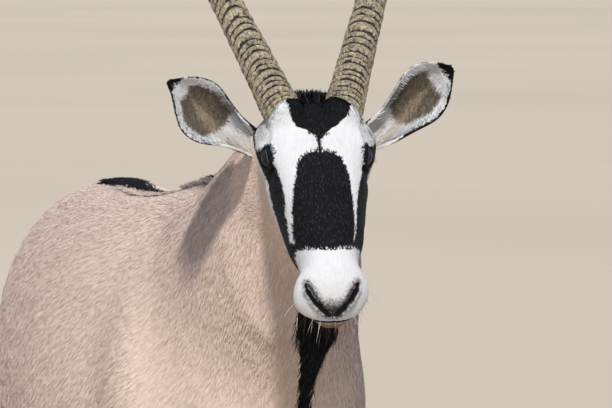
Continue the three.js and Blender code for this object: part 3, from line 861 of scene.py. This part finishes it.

# The eyes are dark brown balls with a level, oblong pupil under a clear, wet cornea.
# Each is a ball with its pole turned out of the lids, where the pattern is drawn from attributes, with a
# painted blue reflection of the sky over the top of the iris.
eye_finish, start, shader = material("eye", 0.08)
off_axis = start.read("off_axis")
long_side = start.read("long_side")
tall_side = start.read("tall_side")
streaks = start.noise(start.place(), 300.0, 3.0, 0.6)
iris = off_axis.between(0.78, 0.70)
pupil = (long_side.maths("POWER", 2.0) + (tall_side * 2.1).maths("POWER", 2.0)).between(0.20, 0.15)
brown = streaks.mixed((0.009, 0.005, 0.003, 1), (0.034, 0.015, 0.007, 1))
colour = iris.mixed((0.004, 0.003, 0.003, 1), brown)
colour = pupil.mixed(colour, (0.003, 0.003, 0.004, 1))
# Painted reflection: the upper part of the iris is tinted blue, as a wet cornea would mirror the sky.
colour = (tall_side.between(0.12, 0.36) * iris).mixed(colour, (0.065, 0.10, 0.19, 1))
joined(colour, shader.inputs["Base Color"])
shader.inputs["IOR"].default_value = 1.33
for side, sign in (("left", 1), ("right", -1)):
    bpy.ops.object.select_all(action="DESELECT")
    bpy.ops.mesh.primitive_uv_sphere_add(segments=56, ring_count=36, radius=1, location=(0, 0, 0))
    eye = bpy.context.object
    eye.name = "eyeball_" + side
    ball = unit(read(eye.data))
    centre, axis, long_way, tall_way = lid_axes[sign]
    radius = 19.6 + 0.9 * step(0.86, 1.0, ball[:, 2])
    co = centre + radius[:, None] * (
        ball[:, 2:3] * axis + ball[:, 0:1] * long_way + ball[:, 1:2] * tall_way)
    write(eye.data, from_head(co))
    put(eye.data, "off_axis", np.arccos(np.clip(ball[:, 2], -1, 1)))
    put(eye.data, "long_side", ball[:, 0])
    put(eye.data, "tall_side", ball[:, 1])
    face_outward()
    dress(eye, eye_finish)
    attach(eye, "root")
    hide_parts("eye_" + side)

# The hooves and dewclaws are black horn, cloven, with faint growth rings and worn edges.
# Each is a copy of its solid with the edges rounded, and stands on the same flat sole.
hoof_finish, start, shader = material("hoof", 0.45)
place_in = start.place()
height = start.node("ShaderNodeSeparateXYZ", {}, {0: place_in}, 2)
growth = (height * 900.0 + start.noise(place_in, 30.0, 2.0, 0.5) * 6).maths("SINE") * 0.5 + 0.5
worn = start.noise(place_in, 120.0, 4.0, 0.6)
dust = height.between(0.022, 0.0) * worn
colour = (growth * 0.35 + worn * 0.5).clamp().mixed((0.018, 0.016, 0.015, 1), (0.060, 0.052, 0.045, 1))
joined((dust * 0.8).mixed(colour, (0.22, 0.17, 0.12, 1)), shader.inputs["Base Color"])
growth.bumped(0.4, 0.001, shader)
for name in sorted(nodes):
    if not name.startswith(("hoof_", "dewclaw_")):
        continue
    claw = copy_of(name)
    claw.name = name + "_rounded"
    merge_doubles()
    worn = 0.0035 if name.startswith("hoof_") else 0.0015
    finish_with(claw, "BEVEL", width=worn, segments=3, limit_method="ANGLE", angle_limit=math.radians(22))
    bpy.ops.object.shade_smooth_by_angle(angle=math.radians(40))
    dress(claw, hoof_finish, smooth=False)
    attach(claw, "root")
    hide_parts(name)

# The coat is short, sleek hair in thin tufts that overlap like tiles and follow the lie of the hair.
# Each tuft is a narrow blade rooted in the skin, built in joined meshes by region, longest on neck and back.
skin.data.calc_loop_triangles()
corners = np.empty(len(skin.data.loop_triangles) * 3, np.int32)
skin.data.loop_triangles.foreach_get("vertices", corners)
corners = corners.reshape(-1, 3)
edge_one = skin_co[corners[:, 1]] - skin_co[corners[:, 0]]
edge_two = skin_co[corners[:, 2]] - skin_co[corners[:, 0]]
areas = np.linalg.norm(np.cross(edge_one, edge_two), axis=1) / 2
middles = skin_co[corners].mean(1)
middle_normals = skin_normals[corners].mean(1)
is_ear = skin_is_ear[corners[:, 0]]
middles_head = to_head(middles)
dice = np.random.default_rng(7)
horn_axes = []
for sign in (1, -1):
    foot, way = horn_line(sign)
    horn_axes.append((foot - way * 60, foot + way * 120))


def grow(chosen, per_square_metre):
    """Random roots on the chosen triangles, with their normals, and whether each is on an ear."""
    weight = areas * chosen
    count = int(weight.sum() * per_square_metre)
    picked = np.searchsorted(np.cumsum(weight), dice.random(count) * weight.sum())
    picked = np.minimum(picked, len(corners) - 1)
    first, second = dice.random((2, count))
    over = first + second > 1
    first[over], second[over] = 1 - first[over], 1 - second[over]
    shares = np.stack([1 - first - second, first, second], 1)[:, :, None]
    roots = (skin_co[corners[picked]] * shares).sum(1)
    facing = unit((skin_normals[corners[picked]] * shares).sum(1))
    on_ear = is_ear[picked]
    near = to_head(roots)
    keep = ~on_ear | (near[:, 0] < 20)
    for sign in lid_axes:
        _, reach, _, across, upward = lid_chart(near, sign)
        keep &= (np.hypot(across / lid_half_long, upward / 12) >= 1.16) | (reach >= 30)
    for axis in horn_axes:
        keep &= line_distance(near, axis)[0] > 26.0
    return roots[keep], facing[keep], on_ear[keep]


def unwrap(kind, points, facing):
    """The place of each root on the skin when it is cut open and laid flat, region by region."""
    x, y, z = to_head(points).T
    wx, wy, wz = points.T

    def around(sideways, other):
        return np.arctan2(sideways, other) / math.tau + 0.5

    if kind == "face":
        return np.stack([around(y, z + 80), (x + 180) / 480], 1)
    if kind == "ears":
        along, across, inner, half, long = ear_chart(points, facing).T
        tile = (y > 0) * 2 + (inner > 0)
        return np.stack([(tile + 0.5 + np.clip(across / half, -1, 1) * 0.42) / 4, np.clip(along, 0, 1)], 1)
    if kind == "legs":
        fore, left = wx > -0.15, wy > -0.07
        middle_x = np.where(fore, np.interp(wz, [0, 0.2], [0.27, 0.24]), -0.74)
        middle_y = -0.07 + np.where(left, 0.11, -0.11)
        turned = around(wy - middle_y, wx - middle_x)
        return np.stack([(fore * 2 + left + 0.04 + turned * 0.92) / 4, wz / 0.72], 1)
    if kind == "tail":
        return np.stack([around(wy + 0.08, wx + 0.96), wz - 0.3], 1)
    return np.stack([(wx + 1.0) / 1.8, around(wy + 0.075, wz - 0.9)], 1)


coat_finish = coat_material("coat", 1)
root_depth = 0.0006
patch_half = 0.0015


def blades(name, kind, tufts, length, width, lift, spread, rows=2, way=None, droop=0.0, rise=0.5, toward=0.0):
    """One piece of the coat: a jointed blade on each root, with its lie, normals, marks and UV map."""
    roots, facing, on_ear = tufts
    count = len(roots)
    way = hair_way(roots, facing, on_ear) if way is None else unit(way)
    side = unit(np.cross(facing, way))
    way = unit(way + side * dice.normal(0, 1, count)[:, None] * spread)
    side = unit(np.cross(facing, way))
    side = side + facing * dice.normal(0, 0.12, count)[:, None]
    long_ones = length * dice.uniform(0.7, 1.25, count)
    broad = width * dice.uniform(0.7, 1.2, count)
    high = lift * dice.uniform(0.5, 1.5, count)
    levels = []
    for row in range(rows + 1):
        share = row / rows
        spot = roots + way * (long_ones * share)[:, None] - facing * root_depth
        spot = spot + facing * (high * math.sin(min(1.0, share * 1.3) * math.pi / 2))[:, None]
        spot[:, 2] -= droop * long_ones * share * share
        if row == rows:
            levels.append(spot)
        else:
            thickness = (0.5, 1.0)[row] if rows == 2 else 0.6 + 0.4 * math.sin(math.pi * share)
            half = side * (broad * thickness / 2)[:, None]
            levels += [spot - half, spot + half]
    per = len(levels)
    points = np.stack(levels, 1).reshape(-1, 3)
    pattern = []
    for low in range(0, per - 3, 2):
        pattern += [(low, low + 3, low + 1), (low, low + 2, low + 3)]
    pattern.append((per - 2, per - 3, per - 1))
    faces = (np.arange(count)[:, None, None] * per + np.array(pattern)).reshape(-1, 3)
    mesh = bpy.data.meshes.new(name)
    mesh.vertices.add(len(points))
    mesh.vertices.foreach_set("co", points.astype(np.float32).ravel())
    mesh.loops.add(faces.size)
    mesh.loops.foreach_set("vertex_index", faces.astype(np.int32).ravel())
    mesh.polygons.add(len(faces))
    mesh.polygons.foreach_set("loop_start", np.arange(0, faces.size, 3, dtype=np.int32))
    mesh.polygons.foreach_set("use_smooth", np.ones(len(faces), bool))
    mesh.update(calc_edges=True)
    # The tufts take the light much as the hide below them does, each turned a little.
    shine = facing + side * dice.normal(0, 0.07, count)[:, None]
    shine = unit(shine - way * (rise * dice.uniform(0.85, 1.15, count))[:, None] + toward)
    mesh.normals_split_custom_set_from_vertices(np.repeat(shine, per, axis=0).astype(np.float32))
    for key, values in markings(roots, facing, on_ear).items():
        put(mesh, key, np.repeat(values, per))
    put(mesh, "shade", np.repeat(dice.uniform(0, 1, count), per))
    put(mesh, "lie", lie_place(points))
    # Each tuft's patch on the map is 0.003 across, at its root's place.
    flat = 0.005 + 0.99 * np.clip(unwrap(kind, roots, facing), 0, 1)
    corner = np.zeros((count, per, 2))
    for number in range(per):
        aside = 0 if number == per - 1 else patch_half * (number % 2 * 2 - 1)
        corner[:, number] = flat + (aside, (number // 2 / rows * 2 - 1) * patch_half)
    uv = mesh.uv_layers.new(name="OFBake")
    uv.data.foreach_set("uv", corner.reshape(-1, 2)[faces.ravel()].astype(np.float32).ravel())
    thing = bpy.data.objects.new(name, mesh)
    bpy.context.scene.collection.objects.link(thing)
    mesh.materials.append(coat_finish)
    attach(thing, "root")


def picked_out(tufts, chosen):
    return tuple(values[chosen] for values in tufts)


face_area = ~is_ear & (middles_head[:, 0] > -118) & (middles_head[:, 2] > -172) & (middles[:, 0] > 0.66)
leg_area = ~is_ear & (middles[:, 2] < 0.62)
tail_area = ~is_ear & (middles[:, 0] < -0.93) & ~leg_area
neck_area = ~is_ear & (middles[:, 0] > 0.36) & ~face_area & ~leg_area
back_area = ~is_ear & ~face_area & ~leg_area & ~neck_area & ~tail_area
left_area = middles[:, 1] > -0.075
face_tufts = grow(face_area, 300000)
# No face tufts grow in the black painted shade of the slits and the lips' line.
face_tufts = picked_out(face_tufts, markings(*face_tufts)["crisp"] >= 1.2)
near = to_head(face_tufts[0])
size = 0.35 + 0.65 * step(240, 180, near[:, 0])
off_eyes = np.minimum(*[np.linalg.norm(near - row[0], axis=1) for row in lid_axes.values()])
size *= 0.6 + 0.4 * step(34, 50, off_eyes)
brow_front = 0.6 * unit(from_head(np.array((25, 0, 100))) - place)
blades("coat_face", "face", face_tufts, 0.0085 * size, 0.0015, 0.0008 * size, 0.18, rise=0.1,
       toward=brow_front * step(60, -10, near[:, 0])[:, None])
for side_name, chosen in (("left", left_area), ("right", ~left_area)):
    blades("coat_neck_" + side_name, "neck", grow(neck_area & chosen, 180000), 0.024, 0.0016, 0.0012, 0.14)
    for end_name, part in (("fore", middles[:, 0] > -0.25), ("hind", middles[:, 0] <= -0.25)):
        tufts = grow(back_area & chosen & part, 130000)
        blades("coat_" + end_name + "_" + side_name, "trunk", tufts, 0.025, 0.0018, 0.0012, 0.14)
blades("coat_legs", "legs", grow(leg_area, 120000), 0.013, 0.0021, 0.0008, 0.12)

# Fine whiskers stand on the lips and chin, and lashes along the upper lids, of stiff hair.
# They are single thin blades, rooted in the skin like the coat's tufts.
whisker_area = ~is_ear & (middles[:, 0] > 0.8) & (middles_head[:, 0] > 225)
whisker_area &= (middles_head[:, 2] < -62) & (np.abs(middles_head[:, 1]) < 60)
tufts = grow(whisker_area, 6500)
blades("whiskers", "face", tufts, 0.024, 0.0005, 0.001, 0.3, rows=3,
       way=tufts[1] * 0.8 + np.array((0.1, 0, -0.55)), droop=0.3)
lash_roots = []
lash_ways = []
for centre, axis, long_way, tall_way in lid_axes.values():
    for bend in np.linspace(-0.8, 0.8, 70):
        across_way = long_way * math.sin(bend) + tall_way * (0.47 * math.cos(bend))
        lash_roots.append(centre + axis * 18.2 + across_way * 15.5)
        lash_ways.append(axis * 0.75 + across_way * 0.5)
lash_ways = unit(np.array(lash_ways) @ turn.T)
lash_facing = unit(np.cross(lash_ways, np.cross(np.array((0.0, 0, 1.0)), lash_ways)))
tufts = from_head(np.array(lash_roots)), lash_facing, np.zeros(len(lash_roots), bool)
blades("lashes", "face", tufts, 0.013, 0.0008, 0.001, 0.15, rows=3, way=lash_ways, droop=0.25)

# Longer hair stands in a short dark mane on the neck's crest, a tuft on the poll and the tail's long brush.
# It is made of the same blades with more joints, so that each lock bends.
off_crest = np.abs(middles[:, 1] * 1000 - spine_y(middles[:, 0]))
crest = ~is_ear & (off_crest < 15) & (middle_normals[:, 2] > 0.35)
crest &= (middles[:, 0] > 0.02) & (middles_head[:, 0] < -112)
tufts = grow(crest, 200000)
blades("mane", "neck", tufts, 0.028, 0.0020, 0.002, 0.16, rows=3,
       way=tufts[1] * 0.55 + hair_way(*tufts), droop=0.12)
ridge = ~is_ear & (off_crest < 26) & (middle_normals[:, 2] > 0.5)
ridge &= (middles[:, 0] > -0.72) & (middles[:, 0] <= 0.02)
tufts = grow(ridge, 130000)
blades("dorsal_ridge", "trunk", tufts, 0.026, 0.0020, 0.002, 0.30, rows=3,
       way=tufts[1] * 0.28 + hair_way(*tufts), droop=0.10)
poll = ~is_ear & (np.abs(middles_head[:, 1] + 6) < 27) & (middles_head[:, 0] < -98)
poll &= (middles_head[:, 0] > -150) & (middles_head[:, 2] > -75)
tufts = grow(poll, 260000)
blades("poll", "face", tufts, 0.020, 0.0020, 0.001, 0.35, rows=3,
       way=tufts[1] * 0.5 + np.array((-0.35, 0, 0.9)), droop=0.15)
tufts = grow(tail_area & (middles[:, 2] < 1.12), 90000)
height = tufts[0][:, 2]
brush_long = 0.016 + 0.085 * step(0.95, 0.80, height) * step(0.42, 0.56, height)
blades("tail_brush", "tail", tufts, brush_long, 0.0032, 0.004, 0.10, rows=4)

# The ears carry short velvet outside and longer pale hair inside, in a fringe that stands in from the rim.
# The fringe leans across the cup and towards the tip.
tufts = grow(is_ear, 300000)
along, across, inner, half, long = ear_chart(tufts[0], tufts[1]).T
from_tip = (1 - along) * long
rim = np.minimum(half - np.abs(across), from_tip)
short = 0.35 + 0.65 * step(2, 16, rim)
way = hair_way(*tufts)
velvet = (inner < 0.1) | (rim <= 4.5) | (from_tip <= 20)
short = short[velvet]
blades("coat_ears", "ears", picked_out(tufts, velvet), 0.008 * short, 0.0016, 0.0006 * short, 0.15,
       way=way[velvet], rise=0.1)
inward = unit(np.cross(tufts[1], way))
inward *= np.sign(inward[:, 2] * across)[:, None]
fringe = (inner > 0.1) & (rim > 4.5) & (from_tip > 20)
lean = 0.9 * step(16, 4, rim) * step(0.3, 0.5, along)
way = way * (1 - 0.5 * lean)[:, None] + inward * lean[:, None] + tufts[1] * 0.18
fringe_long = (0.006 + 0.006 * step(24, 10, rim)) * (0.5 + 0.5 * step(0.98, 0.85, along))
blades("ear_fringe", "ears", picked_out(tufts, fringe), fringe_long[fringe], 0.0011, 0.0014, 0.25, rows=3,
       way=way[fringe], rise=0.1)

# The light is plain soft studio light: a high key from ahead, with a pale, even dome all round.
# The floor is a wide plain of smooth pale sand, which fills the view behind the animal.
to_right = Vector((math.cos(azimuth), math.sin(azimuth), 0))
sun_way = back * 0.81 - to_right * 0.02 + Vector((0, 0, 0.76))
bpy.ops.object.light_add(type="SUN", rotation=sun_way.to_track_quat("Z", "Y").to_euler())
key = bpy.context.object
key.data.energy = 3.5
key.data.angle = math.radians(4)
key.data.color = (1, 0.96, 0.91)
bpy.ops.mesh.primitive_circle_add(vertices=96, radius=500, fill_type="NGON", location=(0, 0, 0))
floor = bpy.context.object
floor.name = "floor"
sand, start, shader = material("sand", 0.9)
drift = (start.noise(start.place(), 0.12, 2.0, 0.5) * 1.4 - 0.2).clamp()
joined(drift.mixed((0.49, 0.425, 0.335, 1), (0.55, 0.475, 0.375, 1)), shader.inputs["Base Color"])
shader.inputs["Specular IOR Level"].default_value = 0.1
floor.data.materials.append(sand)
world = bpy.data.worlds.new("air")
bpy.context.scene.world = world
world.use_nodes = True
dome = world.node_tree.nodes["Background"].inputs
dome["Color"].default_value = (0.74, 0.83, 1.0, 1)
dome["Strength"].default_value = 0.62
bpy.context.scene.view_settings.view_transform = "Standard"
